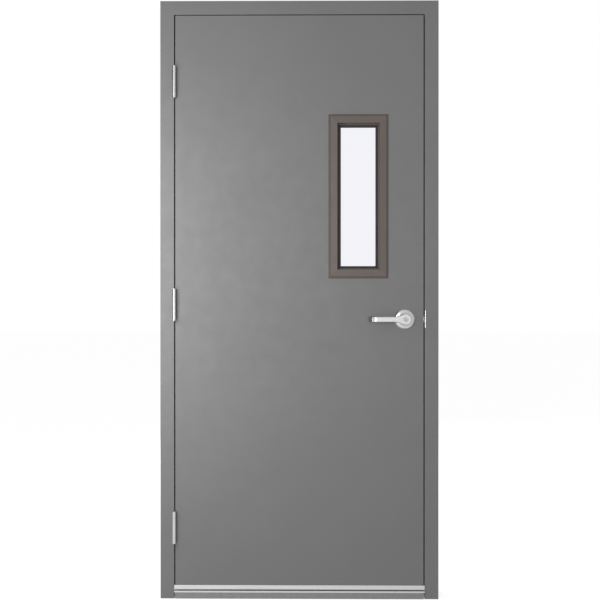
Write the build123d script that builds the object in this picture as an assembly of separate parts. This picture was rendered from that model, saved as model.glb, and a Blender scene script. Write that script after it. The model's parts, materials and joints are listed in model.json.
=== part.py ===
from build123d import *
import os

# A hollow-metal door with a narrow vision lite, hung in its pressed steel frame.
# Millimetres. X runs along the wall to the right, Y through it, Z up from the floor.
# The front is the pull side, where the hinge knuckles stand, and it faces -Y.
# The origin is on the floor, in the middle of the whole unit's width and depth.

os.makedirs("parts", exist_ok=True)

# Frame
opening_width = 914.4
opening_height = 2133.6
face_width = 50.8
jamb_depth = 146.05
rabbet_depth = 49.2
stop_height = 15.9
backbend = 12.7
frame_gauge = 1.5
frame_bend = 2.4

# Door leaf
leaf_thickness = 44.45
hinge_gap = 3.2
lock_gap = 3.2
head_gap = 3.2
undercut = 19.05
skin_gauge = 1.2
skin_bend = 2.2
seam_gap = 0.4
channel_gauge = 1.5
channel_flange = 38.0
core_clearance = 0.3

# Hinges
hinge_height = 114.3
hinge_plate = 3.4
hinge_leaf_width = 57.15
leaf_in_edge = 38.1
barrel_radius = 6.7
pin_radius = 3.5
pin_fit = 0.06
knuckle_count = 5
knuckle_clearance = 0.4
pin_tip = 1.3
top_hinge_drop = 247.65
bottom_hinge_rise = 263.5
hinge_screw_rises = (-42.0, -18.0, 18.0, 42.0)
hinge_screw_backsets = (10.5, 24.0, 24.0, 10.5)
notch_clearance = 0.3
reinforcement_gauge = 4.6
reinforcement_length = 230.0
reinforcement_width = 36.0
joggle_run = 10.0

# Screws
screw_radius = 2.7
screw_head_radius = 5.2
screw_head_height = 2.9
screw_length = 12.0
thread_fit = 0.05
small_screw_radius = 2.0
small_head_radius = 3.4
small_head_height = 1.6

# Strike
strike_height = 123.8
strike_width = 31.75
strike_gauge = 2.3
strike_corner = 3.0
strike_screw_spacing = 104.8
lip_height = 63.5
lip_overhang = 3.0
lip_curl = 4.5
dust_box_depth = 25.0
dust_box_wall = 1.0
backing_length = 160.0
backing_gauge = 3.0

# Lock
lock_height = 1022.0
backset = 69.85
cross_bore = 54.0
rose_radius = 37.8
rose_depth = 11.0
rose_wall = 1.4
rose_shoulder = 4.0
mounting_plate_gap = 0.9
hub_radius = 21.5
stem_radius = 16.0
collar_gap = 2.5
hub_clearance = 0.6
neck_radius = 9.4
neck_fit = 0.08
neck_bite = 18.0
neck_overlap = 2.0
lever_reach = 62.0
lever_thickness = 13.0
lever_height = 21.0
lever_rounding = 4.6
lever_end_rounding = 1.5
lever_length = 133.0
lever_bend = 22.0
lever_sweep = 80.0
lever_end_gap = 20.0
chassis_radius = 26.5
through_bolt_offset = 31.5
through_bolt_radius = 2.5
cylinder_radius = 9.5
cylinder_length = 30.0
cylinder_proud = 0.8
plug_radius = 6.35
plug_fit = 0.08
keyway_width = 2.4
keyway_height = 9.5
keyway_drop = 1.2
keyway_depth = 22.0
tail_radius = 2.5
button_radius = 8.0
button_depth = 9.0
button_grip = 4.0
faceplate_height = 57.15
faceplate_width = 25.4
faceplate_gauge = 2.8
faceplate_screw_spacing = 41.3
latch_throw = 12.7
latch_width = 14.0
latch_height = 18.0
latch_clearance = 0.3
latch_bevel = 9.0
latch_tail_length = 14.0
latch_tail_width = 8.0
latch_case_radius = 12.6
latch_case_gap = 0.4
lock_box_height = 115.0
lock_box_gauge = 1.6
lock_box_inset = 36.0

# Vision lite
lite_width = 127.0
lite_height = 508.0
lite_stile = 149.5
lite_top_rail = 381.0
glass_thickness = 6.35
glass_bite = 11.0
tape_thickness = 3.0
lite_leg = 12.7
lite_leg_width = 3.6
lite_bore_border = 25.4
lite_border = 45.2
lite_rise = 9.0
lite_slope = 1.2
lite_bevel = 8.0
lite_lip = 2.5
lite_gauge = 1.2
lite_screw_margin = 60.0
lite_screw_count = 4
lite_screw_sink = 0.5
lite_screw_length = 14.0
lite_boss_radius = 4.0

# Bottom sweep
sweep_height = 27.0
sweep_rise = 24.3
sweep_overhang = 3.0
sweep_base = 1.8
sweep_plate_height = 15.5
sweep_plate_depth = 4.2
sweep_jaw_height = 6.0
sweep_jaw_depth = 7.5
sweep_lip = 1.5
sweep_slope = 0.4
sweep_screw_sink = 0.3
seal_thickness = 2.0
seal_bead = 3.4
seal_neck_clearance = 0.15
seal_floor_clearance = 1.2
sweep_screw_count = 5
sweep_screw_margin = 40.0

# Anchors and bumpers
wall_anchor_height = 60.0
wall_anchor_gauge = 1.2
wall_anchor_rise = 190.0
wall_anchor_reach = 28.0
floor_anchor_gauge = 2.0
floor_anchor_width = 90.0
floor_anchor_foot = 38.0
floor_anchor_height = 60.0
floor_bolt_radius = 5.2
floor_bolt_spacing = 50.0
floor_bolt_inset = 23.0
silencer_radius = 6.0
silencer_stem = 2.6
silencer_bulb = 4.2
silencer_clearance = 0.3
silencer_end_margin = 330.0

# Places worked out from the sizes
front_reach = lever_reach + cylinder_proud
face_y = (front_reach - jamb_depth) / 2
back_y = face_y + jamb_depth
leaf_back_y = face_y + leaf_thickness
seam_y = face_y + leaf_thickness / 2
hinge_rabbet_x = -opening_width / 2
lock_rabbet_x = opening_width / 2
leaf_left = hinge_rabbet_x + hinge_gap
leaf_right = lock_rabbet_x - lock_gap
leaf_top = opening_height - head_gap
leaf_centre_x = (leaf_left + leaf_right) / 2
pin_x = hinge_rabbet_x + hinge_gap / 2
pin_y = face_y - (hinge_leaf_width - leaf_in_edge)
top_hinge_z = opening_height - top_hinge_drop
middle_hinge_z = (top_hinge_z + bottom_hinge_rise) / 2
hinge_heights = {"top": top_hinge_z, "middle": middle_hinge_z, "bottom": bottom_hinge_rise}
lock_x = leaf_right - backset
lite_x = leaf_right - lite_stile - lite_bore_border - lite_width / 2
lite_z = leaf_top - lite_top_rail - lite_bore_border - lite_height / 2
channel_width = leaf_thickness - 2 * skin_gauge
core_bottom = undercut + channel_flange
core_top = leaf_top - channel_flange


def save(name, shape):
    """Write one sub-part to its own STEP file."""
    export_step(shape, f"parts/{name}.step")


def block(x, y, z):
    """A box between a low and a high value on each axis."""
    sides = [high - low for low, high in (x, y, z)]
    middle = [(low + high) / 2 for low, high in (x, y, z)]
    return Pos(*middle) * Box(*sides)


def rod(start, direction, radius, length):
    """A cylinder that begins at a point and runs along a direction."""
    base = Plane(origin=start, z_dir=direction)
    return base * Cylinder(radius, length, align=(Align.CENTER, Align.CENTER, Align.MIN))


def group(pieces):
    """Several separate solids as one sub-part."""
    solids = [solid for piece in pieces for solid in piece.solids()]
    return Compound(children=solids)


def flat_head_screw(seat, inward, radius, head_radius, head_height, length):
    """A countersunk screw whose head is flush at the seat and whose shank runs inward."""
    profile = Polyline(
        (0, 0),
        (head_radius, 0),
        (radius, head_height),
        (radius, length),
        (0, length),
        close=True,
    )
    turned = revolve(Plane.XZ * make_face(profile), axis=Axis.Z)
    return Plane(origin=seat, z_dir=inward) * turned


def folded_section(points, gauge, bend):
    """The section of a folded sheet: its seen side follows the points, its metal is on their left."""
    seen = [Vector(*point) for point in points]
    runs = [after - before for before, after in zip(seen, seen[1:])]
    steps = [run.normalized().rotate(Axis.Z, 90) * gauge for run in runs]
    hidden = [seen[0] + steps[0]]
    seen_radii = []
    hidden_radii = []
    for number, corner in enumerate(seen[1:-1]):
        before, after = steps[number], steps[number + 1]
        mitre_share = gauge ** 2 / (gauge ** 2 + before.dot(after))
        hidden.append(corner + (before + after) * mitre_share)
        turns_left = runs[number].cross(runs[number + 1]).Z > 0
        seen_radii.append(bend if turns_left else bend - gauge)
        hidden_radii.append(bend - gauge if turns_left else bend)
    hidden.append(seen[-1] + steps[-1])
    seen_side = FilletPolyline(*seen, radius=seen_radii)
    hidden_side = FilletPolyline(*hidden, radius=hidden_radii)
    ends = [Line(seen[0], hidden[0]), Line(seen[-1], hidden[-1])]
    return make_face(seen_side.edges() + hidden_side.edges() + ends)


def frame_profile():
    """The double-rabbet profile as (outward from the opening, back from the front face)."""
    return [
        (face_width, backbend),
        (face_width, 0),
        (0, 0),
        (0, rabbet_depth),
        (-stop_height, rabbet_depth),
        (-stop_height, jamb_depth - rabbet_depth),
        (0, jamb_depth - rabbet_depth),
        (0, jamb_depth),
        (face_width, jamb_depth),
        (face_width, jamb_depth - backbend),
    ]


def hinge_notch(edge_x, into, z, reach):
    """The recess for one hinge leaf: into is the side on which the metal lies."""
    inner = edge_x + into * hinge_plate
    return block(
        sorted((edge_x - into * reach, inner)),
        (face_y - reach, face_y + leaf_in_edge + notch_clearance),
        (z - hinge_height / 2 - notch_clearance, z + hinge_height / 2 + notch_clearance),
    )


def screw_seats(z):
    """Height and depth of the four screws in a hinge leaf centred at a height."""
    pairs = zip(hinge_screw_rises, hinge_screw_backsets)
    return [(z + rise, face_y + backset_y) for rise, backset_y in pairs]


def cut_screw_holes(shape, edge_x, into, z):
    """Tapped and countersunk holes where the four hinge screws of one leaf pass."""
    for height, depth in screw_seats(z):
        shape -= flat_head_screw(
            (edge_x, depth, height),
            (into, 0, 0),
            screw_radius + thread_fit,
            screw_head_radius + thread_fit,
            screw_head_height,
            hinge_plate + reinforcement_gauge + screw_length,
        )
    return shape


def joggled_plate(edge_x, into, z, gauge, bend):
    """A hinge reinforcement: its middle seats the leaf and its ends step out to the sheet."""
    half = reinforcement_length / 2
    seat = hinge_height / 2 + 2 * notch_clearance
    rise = seat + joggle_run
    outer = [
        (gauge, -half),
        (gauge, -rise),
        (hinge_plate, -seat),
        (hinge_plate, seat),
        (gauge, rise),
        (gauge, half),
    ]
    inner = [(depth + reinforcement_gauge, height) for depth, height in reversed(outer)]
    placed = [(edge_x + into * depth, z + height) for depth, height in outer + inner]
    section = Plane.XZ * make_face(Polyline(*placed, close=True))
    plate = Pos(0, face_y + bend, 0) * extrude(section, amount=-reinforcement_width)
    return cut_screw_holes(plate, edge_x, into, z)


# Frame members
def mitre(shape, side, keep_head):
    """Cut a frame member on the 45 degree line through an upper corner of the opening."""
    corner = (side * opening_width / 2, 0, opening_height)
    outward = (side, 0, -1)
    keep = Keep.BOTTOM if keep_head else Keep.TOP
    return split(shape, bisect_by=Plane(origin=corner, z_dir=outward), keep=keep)


def plain_jamb():
    """The hinge-side jamb before its recesses: the folded section run up to the mitre."""
    points = [(hinge_rabbet_x - u, face_y + v) for u, v in frame_profile()]
    section = folded_section(points, frame_gauge, frame_bend)
    return mitre(extrude(section, amount=opening_height + face_width), -1, False)


def make_hinge_jamb():
    jamb = plain_jamb()
    for z in hinge_heights.values():
        jamb -= hinge_notch(hinge_rabbet_x, -1, z, hinge_gap / 4)
    return jamb


def strike_cut():
    """The space that the strike plate and its lip take in the strike jamb."""
    inner = lock_rabbet_x + strike_gauge
    plate = block(
        (lock_rabbet_x - lock_gap / 4, inner),
        (seam_y - strike_width / 2 - notch_clearance, seam_y + strike_width / 2 + notch_clearance),
        (lock_height - strike_height / 2 - notch_clearance,
         lock_height + strike_height / 2 + notch_clearance),
    )
    lip = block(
        (lock_rabbet_x - lock_gap / 4, inner + notch_clearance),
        (face_y - frame_gauge, seam_y),
        (lock_height - lip_height / 2 - notch_clearance,
         lock_height + lip_height / 2 + notch_clearance),
    )
    return plate + lip


def silencer_places():
    """Heights of the three bumpers on the strike jamb."""
    low = silencer_end_margin
    high = opening_height - silencer_end_margin
    return (low, (low + high) / 2, high)


def make_strike_jamb():
    jamb = mirror(plain_jamb(), about=Plane.YZ)
    jamb -= strike_cut()
    for z in silencer_places():
        hole_start = (lock_rabbet_x - stop_height / 2, face_y + rabbet_depth - 1, z)
        jamb -= rod(hole_start, (0, 1, 0), silencer_stem + thread_fit, frame_gauge + 2)
    return jamb


def make_frame_head():
    points = [(face_y + v, opening_height + u) for u, v in frame_profile()]
    section = Plane.YZ * folded_section(points, frame_gauge, frame_bend)
    half_length = opening_width / 2 + face_width
    head = extrude(section, amount=half_length, both=True)
    head = mitre(head, -1, True)
    return mitre(head, 1, True)


def make_wall_anchors(side):
    """Three stud anchors in one jamb: a web across the rabbets with an arm along each face."""
    web_x = opening_width / 2 + frame_gauge
    front = face_y + frame_gauge
    back = back_y - frame_gauge
    points = [
        (web_x + wall_anchor_reach, back),
        (web_x, back),
        (web_x, front),
        (web_x + wall_anchor_reach, front),
    ]
    section = folded_section(points, wall_anchor_gauge, wall_anchor_gauge + 1.5)
    bent = extrude(section, amount=wall_anchor_height)
    lows = [z + wall_anchor_rise - wall_anchor_height / 2 for z in hinge_heights.values()]
    anchors = [Pos(0, 0, low) * bent for low in lows]
    if side < 0:
        anchors = [mirror(anchor, about=Plane.YZ) for anchor in anchors]
    return group(anchors)


def make_floor_anchor(side):
    """An angle welded in the foot of a jamb, with two holes for bolts into the floor."""
    upright_x = opening_width / 2 + frame_gauge
    points = [
        (upright_x, floor_anchor_height),
        (upright_x, 0),
        (upright_x + floor_anchor_foot, 0),
    ]
    section = folded_section(points, floor_anchor_gauge, floor_anchor_gauge + 1.0)
    middle_y = (face_y + back_y) / 2
    angle = extrude(Plane.XZ * section, amount=floor_anchor_width / 2, both=True)
    angle = Pos(0, middle_y, 0) * angle
    for offset_y in (-floor_bolt_spacing / 2, floor_bolt_spacing / 2):
        start = (upright_x + floor_bolt_inset, middle_y + offset_y, -1)
        angle -= rod(start, (0, 0, 1), floor_bolt_radius, floor_anchor_gauge + 2)
    return angle if side > 0 else mirror(angle, about=Plane.YZ)


def make_silencers():
    """Three rubber bumpers pressed into the stop of the strike jamb."""
    head = rabbet_depth - leaf_thickness - silencer_clearance
    profile = Polyline(
        (0, 0),
        (silencer_radius - 1.2, 0),
        (silencer_radius, 1.2),
        (silencer_radius, head),
        (silencer_stem, head),
        (silencer_stem, head + frame_gauge),
        (silencer_bulb, head + frame_gauge + 1.0),
        (0, head + frame_gauge + 6.0),
        close=True,
    )
    bumper = revolve(Plane.XZ * make_face(profile), axis=Axis.Z)
    x = lock_rabbet_x - stop_height / 2
    start_y = face_y + rabbet_depth - head
    seats = [Plane(origin=(x, start_y, z), z_dir=(0, 1, 0)) for z in silencer_places()]
    return group([seat * bumper for seat in seats])


# Hinges
def knuckle_spans(z):
    """Low and high height of each knuckle of a hinge, from the bottom up."""
    pitch = hinge_height / knuckle_count
    low = z - hinge_height / 2
    half_gap = knuckle_clearance / 2
    return [
        (low + pitch * n + half_gap, low + pitch * (n + 1) - half_gap)
        for n in range(knuckle_count)
    ]


def make_hinge_leaf(z, into, first_knuckle):
    """One hinge leaf with every second knuckle; into is the side that it is let into."""
    inner = pin_x + into * hinge_gap / 2
    outer = inner + into * hinge_plate
    clear_y = pin_y + barrel_radius + 0.8
    thickness = sorted((inner, outer))
    low = z - hinge_height / 2
    leaf = block(thickness, (clear_y, face_y + leaf_in_edge), (low, low + hinge_height))
    for start, end in knuckle_spans(z)[first_knuckle::2]:
        leaf += block(thickness, (pin_y, clear_y + 1), (start, end))
        leaf += rod((pin_x, pin_y, start), (0, 0, 1), barrel_radius, end - start)
    bore_length = hinge_height + 2
    leaf -= rod((pin_x, pin_y, low - 1), (0, 0, 1), pin_radius + pin_fit, bore_length)
    rabbet_x = hinge_rabbet_x if into < 0 else leaf_left
    return cut_screw_holes(leaf, rabbet_x, into, z)


def make_hinge_pin(z):
    """The pin through the five knuckles, with a flat button at each end."""
    low = z - hinge_height / 2
    pin = rod((pin_x, pin_y, low - pin_tip / 2), (0, 0, 1), pin_radius, hinge_height + pin_tip)
    button_bottom = rod((pin_x, pin_y, low - pin_tip), (0, 0, 1), barrel_radius - 0.6, pin_tip)
    button_top = rod((pin_x, pin_y, low + hinge_height), (0, 0, 1), barrel_radius - 0.6, pin_tip)
    return pin + button_bottom + button_top


def make_hinge_screws(edge_x, into):
    """The twelve screws of the three leaves on one side."""
    screws = []
    for z in hinge_heights.values():
        for height, depth in screw_seats(z):
            screws.append(
                flat_head_screw(
                    (edge_x, depth, height),
                    (into, 0, 0),
                    screw_radius,
                    screw_head_radius,
                    screw_head_height,
                    screw_length,
                )
            )
    return group(screws)


# Strike
def strike_screw_heights():
    return [lock_height + s * strike_screw_spacing / 2 for s in (-1, 1)]


def cut_strike_holes(plate):
    """The two countersunk and tapped holes of the strike's screws."""
    for z in strike_screw_heights():
        plate -= flat_head_screw(
            (lock_rabbet_x, seam_y, z),
            (1, 0, 0),
            screw_radius + thread_fit,
            screw_head_radius + thread_fit,
            screw_head_height,
            2 * screw_length,
        )
    return plate


def make_strike_plate():
    """A flat plate let into the jamb, with a lip that curls round the jamb's corner."""
    plate = block(
        (lock_rabbet_x, lock_rabbet_x + strike_gauge),
        (seam_y - strike_width / 2, seam_y + strike_width / 2),
        (lock_height - strike_height / 2, lock_height + strike_height / 2),
    )
    plate = fillet(plate.edges().filter_by(Axis.X), strike_corner)
    lip_line = [
        (lock_rabbet_x, seam_y - strike_width / 2 + 1),
        (lock_rabbet_x, face_y - lip_overhang),
        (lock_rabbet_x + lip_curl, face_y - lip_overhang),
    ]
    section = folded_section(lip_line, strike_gauge, strike_gauge + 0.4)
    lip = Pos(0, 0, lock_height - lip_height / 2) * extrude(section, amount=lip_height)
    plate += lip
    half_y = latch_width / 2 + 2.5
    half_z = latch_height / 2 + 4.0
    plate -= block(
        (lock_rabbet_x - 1, lock_rabbet_x + strike_gauge + 1),
        (seam_y - half_y, seam_y + half_y),
        (lock_height - half_z, lock_height + half_z),
    )
    return cut_strike_holes(plate)


def make_strike_backing():
    """The plate behind the strike: stepped in where the strike seats, tapped for its screws."""
    half = backing_length / 2
    seat = strike_height / 2 + 2 * notch_clearance
    outer = [
        (frame_gauge, -half),
        (frame_gauge, -seat - 4),
        (strike_gauge, -seat),
        (strike_gauge, seat),
        (frame_gauge, seat + 4),
        (frame_gauge, half),
    ]
    inner = [(depth + backing_gauge, height) for depth, height in reversed(outer)]
    placed = [(lock_rabbet_x + depth, lock_height + height) for depth, height in outer + inner]
    section = Plane.XZ * make_face(Polyline(*placed, close=True))
    low_y = face_y + frame_gauge + notch_clearance + strike_gauge
    width = rabbet_depth - frame_gauge - 2 * notch_clearance - strike_gauge - 4
    plate = Pos(0, low_y, 0) * extrude(section, amount=-width)
    half_y = latch_width / 2 + 4.0
    half_z = latch_height / 2 + 8.0
    plate -= block(
        (lock_rabbet_x, lock_rabbet_x + 20),
        (seam_y - half_y, seam_y + half_y),
        (lock_height - half_z, lock_height + half_z),
    )
    return cut_strike_holes(plate)


def make_dust_box():
    """A thin box that keeps the latch's pocket clear behind the strike."""
    start_x = lock_rabbet_x + strike_gauge + backing_gauge
    half_y = latch_width / 2 + 5.0 + dust_box_wall
    half_z = latch_height / 2 + 10.0 + dust_box_wall
    outside = block(
        (start_x, start_x + dust_box_depth),
        (seam_y - half_y, seam_y + half_y),
        (lock_height - half_z, lock_height + half_z),
    )
    inside = block(
        (start_x - 1, start_x + dust_box_depth - dust_box_wall),
        (seam_y - half_y + dust_box_wall, seam_y + half_y - dust_box_wall),
        (lock_height - half_z + dust_box_wall, lock_height + half_z - dust_box_wall),
    )
    return outside - inside


def make_strike_screws():
    seats = [(lock_rabbet_x, seam_y, z) for z in strike_screw_heights()]
    return group([
        flat_head_screw(
            seat, (1, 0, 0), screw_radius, screw_head_radius, screw_head_height, screw_length
        )
        for seat in seats
    ])


# Door leaf
def lite_cutout(y):
    """The opening for the lite kit, cut between two depths."""
    half_x = lite_width / 2 + lite_bore_border
    half_z = lite_height / 2 + lite_bore_border
    return block((lite_x - half_x, lite_x + half_x), y, (lite_z - half_z, lite_z + half_z))


def edge_cuts():
    """The recesses in the two long edges of the leaf: three hinges and the latch faceplate."""
    cuts = block(
        (leaf_right - faceplate_gauge, leaf_right + lock_gap / 4),
        (seam_y - faceplate_width / 2 - notch_clearance,
         seam_y + faceplate_width / 2 + notch_clearance),
        (lock_height - faceplate_height / 2 - notch_clearance,
         lock_height + faceplate_height / 2 + notch_clearance),
    )
    for z in hinge_heights.values():
        cuts += hinge_notch(leaf_left, 1, z, hinge_gap / 4)
    return cuts


def lock_bores(y):
    """The cross bore and the two bolt holes of the lock, cut between two depths."""
    start, end = y
    cuts = rod((lock_x, start, lock_height), (0, 1, 0), cross_bore / 2, end - start)
    for side in (-1, 1):
        seat = (lock_x, start, lock_height + side * through_bolt_offset)
        cuts += rod(seat, (0, 1, 0), through_bolt_radius + 1.0, end - start)
    return cuts


def make_skin(front):
    """One face sheet, folded round both long edges of the leaf as far as the seam."""
    outer_y = face_y if front else leaf_back_y
    edge_y = seam_y - seam_gap / 2 if front else seam_y + seam_gap / 2
    points = [
        (leaf_left, edge_y),
        (leaf_left, outer_y),
        (leaf_right, outer_y),
        (leaf_right, edge_y),
    ]
    if not front:
        points = list(reversed(points))
    section = folded_section(points, skin_gauge, skin_bend)
    skin = Pos(0, 0, undercut) * extrude(section, amount=leaf_top - undercut)
    skin -= edge_cuts()
    through = (face_y - 1, leaf_back_y + 1)
    return skin - lite_cutout(through) - lock_bores(through)


def make_channel(web_top):
    """A channel between the skins, its web on top and its two flanges down."""
    points = [
        (face_y + skin_gauge, web_top - channel_flange),
        (face_y + skin_gauge, web_top),
        (face_y + skin_gauge + channel_width, web_top),
        (face_y + skin_gauge + channel_width, web_top - channel_flange),
    ]
    section = folded_section(list(reversed(points)), channel_gauge, channel_gauge + 1.0)
    length = leaf_right - leaf_left - 2 * skin_bend
    channel = extrude(Plane.YZ * section, amount=length)
    return Pos(leaf_left + skin_bend, 0, 0) * channel


def make_core():
    """The honeycomb slab that fills the leaf, cut away for the lite, lock and hinge plates."""
    inner = (face_y + skin_gauge, leaf_back_y - skin_gauge)
    left = leaf_left + skin_bend + core_clearance
    right = leaf_right - skin_bend - core_clearance
    core = block((left, right), inner, (core_bottom, core_top))
    through = (face_y - 1, leaf_back_y + 1)
    core -= lite_cutout(through)
    core -= block(
        (leaf_right - backset - lock_box_inset - core_clearance, leaf_right),
        through,
        (lock_height - lock_box_height / 2 - core_clearance,
         lock_height + lock_box_height / 2 + core_clearance),
    )
    plate_depth = hinge_plate + screw_length + core_clearance
    for z in hinge_heights.values():
        core -= block(
            (leaf_left, leaf_left + plate_depth),
            through,
            (z - reinforcement_length / 2 - core_clearance,
             z + reinforcement_length / 2 + core_clearance),
        )
    return core


# Lock
def make_lock_box():
    """The folded reinforcement round the lock: a web in the edge and a wing on each skin."""
    web_x = leaf_right - faceplate_gauge
    tip_x = leaf_right - backset - lock_box_inset
    low_y = face_y + skin_gauge
    high_y = leaf_back_y - skin_gauge
    points = [(tip_x, low_y), (web_x, low_y), (web_x, high_y), (tip_x, high_y)]
    section = folded_section(points, lock_box_gauge, lock_box_gauge + 1.0)
    low_z = lock_height - lock_box_height / 2
    box = Pos(0, 0, low_z) * extrude(section, amount=lock_box_height)
    box -= lock_bores((face_y - 1, leaf_back_y + 1))
    start = (web_x - lock_box_gauge - 2, seam_y, lock_height)
    box -= rod(start, (1, 0, 0), latch_case_radius + thread_fit, lock_box_gauge + 4)
    for z in faceplate_screw_heights():
        start = (web_x - lock_box_gauge - 2, seam_y, z)
        box -= rod(start, (1, 0, 0), small_screw_radius + thread_fit, lock_box_gauge + 4)
    return box


def faceplate_screw_heights():
    return [lock_height + s * faceplate_screw_spacing / 2 for s in (-1, 1)]


def latch_hole(x):
    """The rectangular way of the latch bolt between two places along X."""
    half_y = latch_width / 2 + latch_clearance
    half_z = latch_height / 2 + latch_clearance
    return block(
        x, (seam_y - half_y, seam_y + half_y), (lock_height - half_z, lock_height + half_z)
    )


def make_faceplate():
    plate = block(
        (leaf_right - faceplate_gauge, leaf_right),
        (seam_y - faceplate_width / 2, seam_y + faceplate_width / 2),
        (lock_height - faceplate_height / 2, lock_height + faceplate_height / 2),
    )
    plate -= latch_hole((leaf_right - faceplate_gauge - 1, leaf_right + 1))
    for z in faceplate_screw_heights():
        plate -= flat_head_screw(
            (leaf_right, seam_y, z),
            (-1, 0, 0),
            small_screw_radius + thread_fit,
            small_head_radius + thread_fit,
            small_head_height,
            screw_length,
        )
    return plate


def make_faceplate_screws():
    return group([
        flat_head_screw(
            (leaf_right, seam_y, z),
            (-1, 0, 0),
            small_screw_radius,
            small_head_radius,
            small_head_height,
            screw_length,
        )
        for z in faceplate_screw_heights()
    ])


def make_latch_case():
    """The tube behind the faceplate that the latch bolt slides in."""
    start = lock_x + chassis_radius + latch_case_gap
    length = leaf_right - faceplate_gauge - start
    case = rod((start, seam_y, lock_height), (1, 0, 0), latch_case_radius, length)
    return case - latch_hole((start - 1, start + length + 1))


def make_latchbolt():
    """The spring latch: a bevelled head and the tail that the lock draws back."""
    nose_x = leaf_right + latch_throw
    root_x = leaf_right - faceplate_gauge - 10.0
    low_y = seam_y - latch_width / 2
    high_y = seam_y + latch_width / 2
    outline = Polyline(
        (root_x, low_y),
        (nose_x, low_y),
        (nose_x, high_y - latch_bevel),
        (nose_x - latch_throw + 1.0, high_y),
        (root_x, high_y),
        close=True,
    )
    low_z = lock_height - latch_height / 2
    head = Pos(0, 0, low_z) * extrude(make_face(outline), amount=latch_height)
    half_tail = latch_tail_width / 2
    tail = block(
        (root_x - latch_tail_length, root_x + 1),
        (seam_y - half_tail, seam_y + half_tail),
        (lock_height - half_tail, lock_height + half_tail),
    )
    return head + tail


def make_chassis():
    """The lock's body in the cross bore, bored through for both lever necks."""
    start = face_y + skin_gauge + lock_box_gauge
    length = leaf_thickness - 2 * (skin_gauge + lock_box_gauge)
    body = rod((lock_x, start, lock_height), (0, 1, 0), chassis_radius, length)
    bore_start = (lock_x, start - 1, lock_height)
    return body - rod(bore_start, (0, 1, 0), neck_radius + neck_fit, length + 2)


def outward_plane(front):
    """The plane on a face of the leaf at the lock, with its Z pointing out of the door."""
    if front:
        return Plane(origin=(lock_x, face_y, lock_height), x_dir=(1, 0, 0), z_dir=(0, -1, 0))
    return Plane(origin=(lock_x, leaf_back_y, lock_height), x_dir=(-1, 0, 0), z_dir=(0, 1, 0))


def make_rose(front):
    """A domed cover spun from sheet, hollow behind, with a collar round the lever's neck."""
    collar = neck_radius + collar_gap
    outer = [
        (rose_radius, 0),
        (rose_radius, rose_shoulder),
        (rose_radius - 4.5, rose_depth - 2.0),
        (hub_radius + 3.0, rose_depth),
        (collar, rose_depth),
    ]
    inner = [
        (collar, rose_depth - rose_wall),
        (hub_radius + 3.0, rose_depth - rose_wall),
        (rose_radius - 4.5 - rose_wall, rose_depth - 2.0 - rose_wall),
        (rose_radius - rose_wall, rose_shoulder - rose_wall / 2),
        (rose_radius - rose_wall, 0),
    ]
    cover = revolve(Plane.XZ * make_face(Polyline(*outer, *inner, close=True)), axis=Axis.Z)
    rims = cover.edges().filter_by(GeomType.CIRCLE)
    shoulder = rims.filter_by(lambda edge: abs(edge.radius - (rose_radius - 4.5)) < 0.01)
    cover = fillet(shoulder, 2.5)
    return outward_plane(front) * cover


def make_mounting_plate(front):
    """The plate under a rose, held by the through bolts, with a hole for the neck."""
    thickness = rose_shoulder - mounting_plate_gap
    radius = rose_radius - rose_wall - mounting_plate_gap
    plate = Cylinder(radius, thickness, align=(Align.CENTER, Align.CENTER, Align.MIN))
    hole = Cylinder(neck_radius + 1.5, 3 * thickness)
    plate -= hole
    for side in (-1, 1):
        bolt = Cylinder(through_bolt_radius + thread_fit, 3 * thickness)
        plate -= Pos(0, side * through_bolt_offset, 0) * bolt
    return outward_plane(front) * plate


def make_through_bolts():
    """The two bolts that draw the mounting plates together through the leaf."""
    reach = rose_shoulder - mounting_plate_gap
    bolts = []
    for side in (-1, 1):
        z = lock_height + side * through_bolt_offset
        start = (lock_x, face_y - reach, z)
        bolts.append(rod(start, (0, 1, 0), through_bolt_radius, leaf_thickness + 2 * reach))
    return group(bolts)


def lever_plan():
    """The lever seen from the front: a round hub that sweeps into a straight arm."""
    half = lever_height / 2
    arm_start = ((hub_radius + lever_sweep) ** 2 - (half + lever_sweep) ** 2) ** 0.5
    share = hub_radius / (hub_radius + lever_sweep)
    meet_x = arm_start * share
    meet_y = (half + lever_sweep) * share
    outline = [
        Line((lever_length, half), (arm_start, half)),
        TangentArc((arm_start, half), (meet_x, meet_y), tangent=(-1, 0)),
        ThreePointArc((meet_x, meet_y), (-hub_radius, 0), (meet_x, -meet_y)),
        TangentArc((arm_start, -half), (meet_x, -meet_y), tangent=(-1, 0)),
        Line((arm_start, -half), (lever_length, -half)),
        Line((lever_length, -half), (lever_length, half)),
    ]
    return make_face(outline)


def lever_side():
    """The lever seen from above: a flat arm that returns towards the door at its end."""
    outer_line = FilletPolyline(
        (-2 * hub_radius, lever_reach),
        (lever_length, lever_reach),
        (lever_length, lever_end_gap),
        radius=lever_bend + lever_thickness / 2,
    )
    return make_face(offset(outer_line, amount=lever_thickness, side=Side.RIGHT).edges())


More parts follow.
